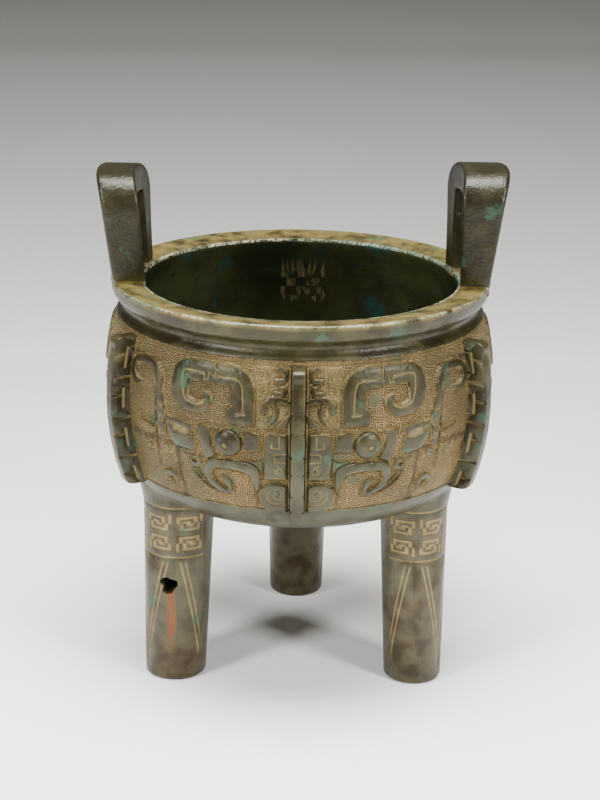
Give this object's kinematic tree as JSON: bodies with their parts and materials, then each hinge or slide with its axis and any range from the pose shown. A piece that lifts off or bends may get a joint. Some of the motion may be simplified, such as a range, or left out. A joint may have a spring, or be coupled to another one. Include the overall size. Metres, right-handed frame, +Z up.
{
  "type": "bronze ding vessel",
  "caption": "Round bronze cauldron on column legs, with a flat lip, upright loop handles, vertical flanges and animal-mask relief; an ancient vessel for cooking and offering food.",
  "frame": {"origin": "on the ground under the middle of the bowl, midway between the part's outermost sides", "axes": "+Z up, -Y towards the front mask, +X towards the right-hand handle"},
  "size_m": [0.188, 0.2014, 0.246],
  "materials": {
    "bronze": "satin patina, grey-green on the relief, with tan earth in the recesses"
  },
  "bodies": {
    "root": {"ding_vessel": "bronze"}
  },
  "joints": []
}
